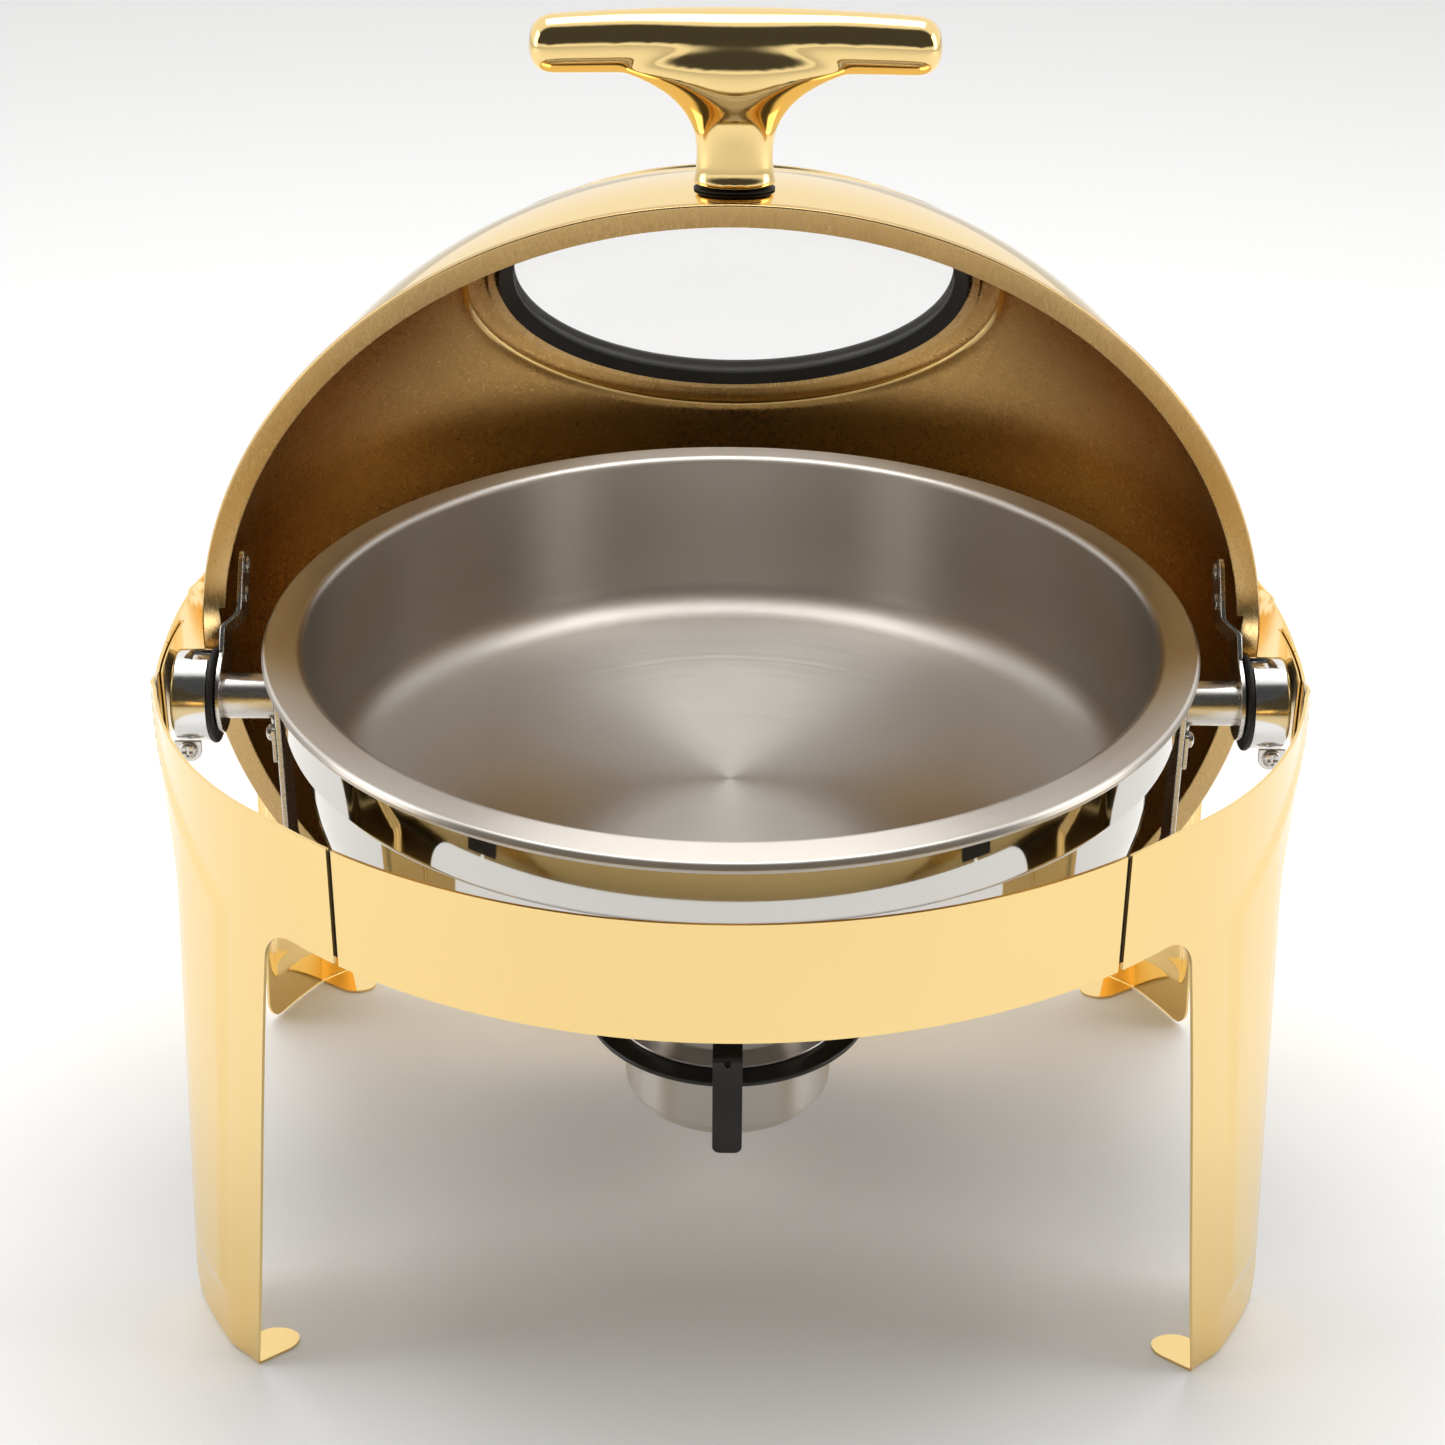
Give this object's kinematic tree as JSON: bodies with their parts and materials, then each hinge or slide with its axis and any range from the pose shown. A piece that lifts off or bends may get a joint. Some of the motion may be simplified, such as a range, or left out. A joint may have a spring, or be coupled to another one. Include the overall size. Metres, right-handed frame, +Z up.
{
  "type": "round roll top chafer",
  "caption": "Round food warmer on four splayed legs: a domed lid with a window rolls back on side hinges over nested pans above a fuel burner.",
  "frame": {"origin": "on the table, under the centre of the frame ring", "axes": "+Z up, -Y to the front, where the handle is when the lid is closed, +X to the right as seen from the front"},
  "size_m": [0.46, 0.46, 0.5104],
  "materials": {
    "gold": "polished stainless steel with a gold coating",
    "gold_satin": "satin gold coating",
    "steel_satin": "satin stainless steel",
    "steel_polished": "mirror polished stainless steel",
    "chrome": "bright chrome",
    "black_enamel": "semi-gloss black enamel",
    "black_rubber": "matt black rubber",
    "window_glass": "clear tempered glass"
  },
  "bodies": {
    "frame": {"front_band": "gold", "rear_band": "gold", "front_leg_left": "gold", "front_leg_right": "gold", "rear_leg_left": "gold", "rear_leg_right": "gold", "front_splice_left": "black_enamel", "front_splice_right": "black_enamel", "rear_splice_left": "black_enamel", "rear_splice_right": "black_enamel", "hinge_plate_left": "gold", "hinge_plate_right": "gold", "hinge_housing_left": "chrome", "hinge_housing_right": "chrome", "housing_ring_left": "black_rubber", "housing_ring_right": "black_rubber", "hinge_tab_left": "steel_satin", "hinge_tab_right": "steel_satin", "tab_screw_left": "steel_satin", "tab_screw_right": "steel_satin", "shaft_tube_left": "steel_satin", "shaft_tube_right": "steel_satin", "pan_cradle": "steel_satin", "strap_plate_left": "steel_satin", "strap_plate_right": "steel_satin", "strap_bolt_front_left": "steel_satin", "strap_bolt_front_right": "steel_satin", "strap_bolt_rear_left": "steel_satin", "strap_bolt_rear_right": "steel_satin", "burner_arm_left": "black_enamel", "burner_arm_right": "black_enamel", "arm_bolt_left": "steel_satin", "arm_bolt_right": "steel_satin", "burner_ring": "black_enamel"},
    "water_bath": {"water_pan": "steel_polished"},
    "food_tray": {"food_pan": "steel_satin"},
    "burner": {"burner_cup": "steel_satin", "burner_collar": "steel_polished"},
    "snuffer": {"burner_cover": "steel_polished", "burner_handle": "black_enamel", "cover_pin": "steel_satin", "handle_rivet": "steel_satin"},
    "lid": {"lid_dome": "gold", "lid_rim": "gold_satin", "window_glass": "window_glass", "window_gasket": "black_rubber", "window_trim": "gold", "window_backing": "gold_satin", "lid_handle": "gold", "handle_pad": "black_rubber", "handle_screw": "steel_satin", "lid_arm_left": "steel_satin", "lid_arm_right": "steel_satin", "lid_rivet_inner_left": "steel_satin", "lid_rivet_inner_right": "steel_satin", "lid_rivet_outer_left": "steel_satin", "lid_rivet_outer_right": "steel_satin"}
  },
  "joints": [
    {"name": "lid_roll", "type": "hinge", "parent": "frame", "child": "lid", "pos_m": [0, 0, 0.229], "axis": [1, 0, 0], "range_deg": [0, 77.2]},
    {"name": "water_pan_lift", "type": "slide", "parent": "frame", "child": "water_bath", "axis": [0, 0, 1], "range_m": [0, 0.02]},
    {"name": "food_pan_lift", "type": "slide", "parent": "water_bath", "child": "food_tray", "axis": [0, 0, 1], "range_m": [0, 0.03]},
    {"name": "burner_lift", "type": "slide", "parent": "frame", "child": "burner", "axis": [0, 0, 1], "range_m": [0, 0.04]},
    {"name": "cover_swing", "type": "hinge", "parent": "burner", "child": "snuffer", "pos_m": [0, 0.0302, 0.0933], "axis": [0, 0, 1], "range_deg": [0, 45]}
  ]
}
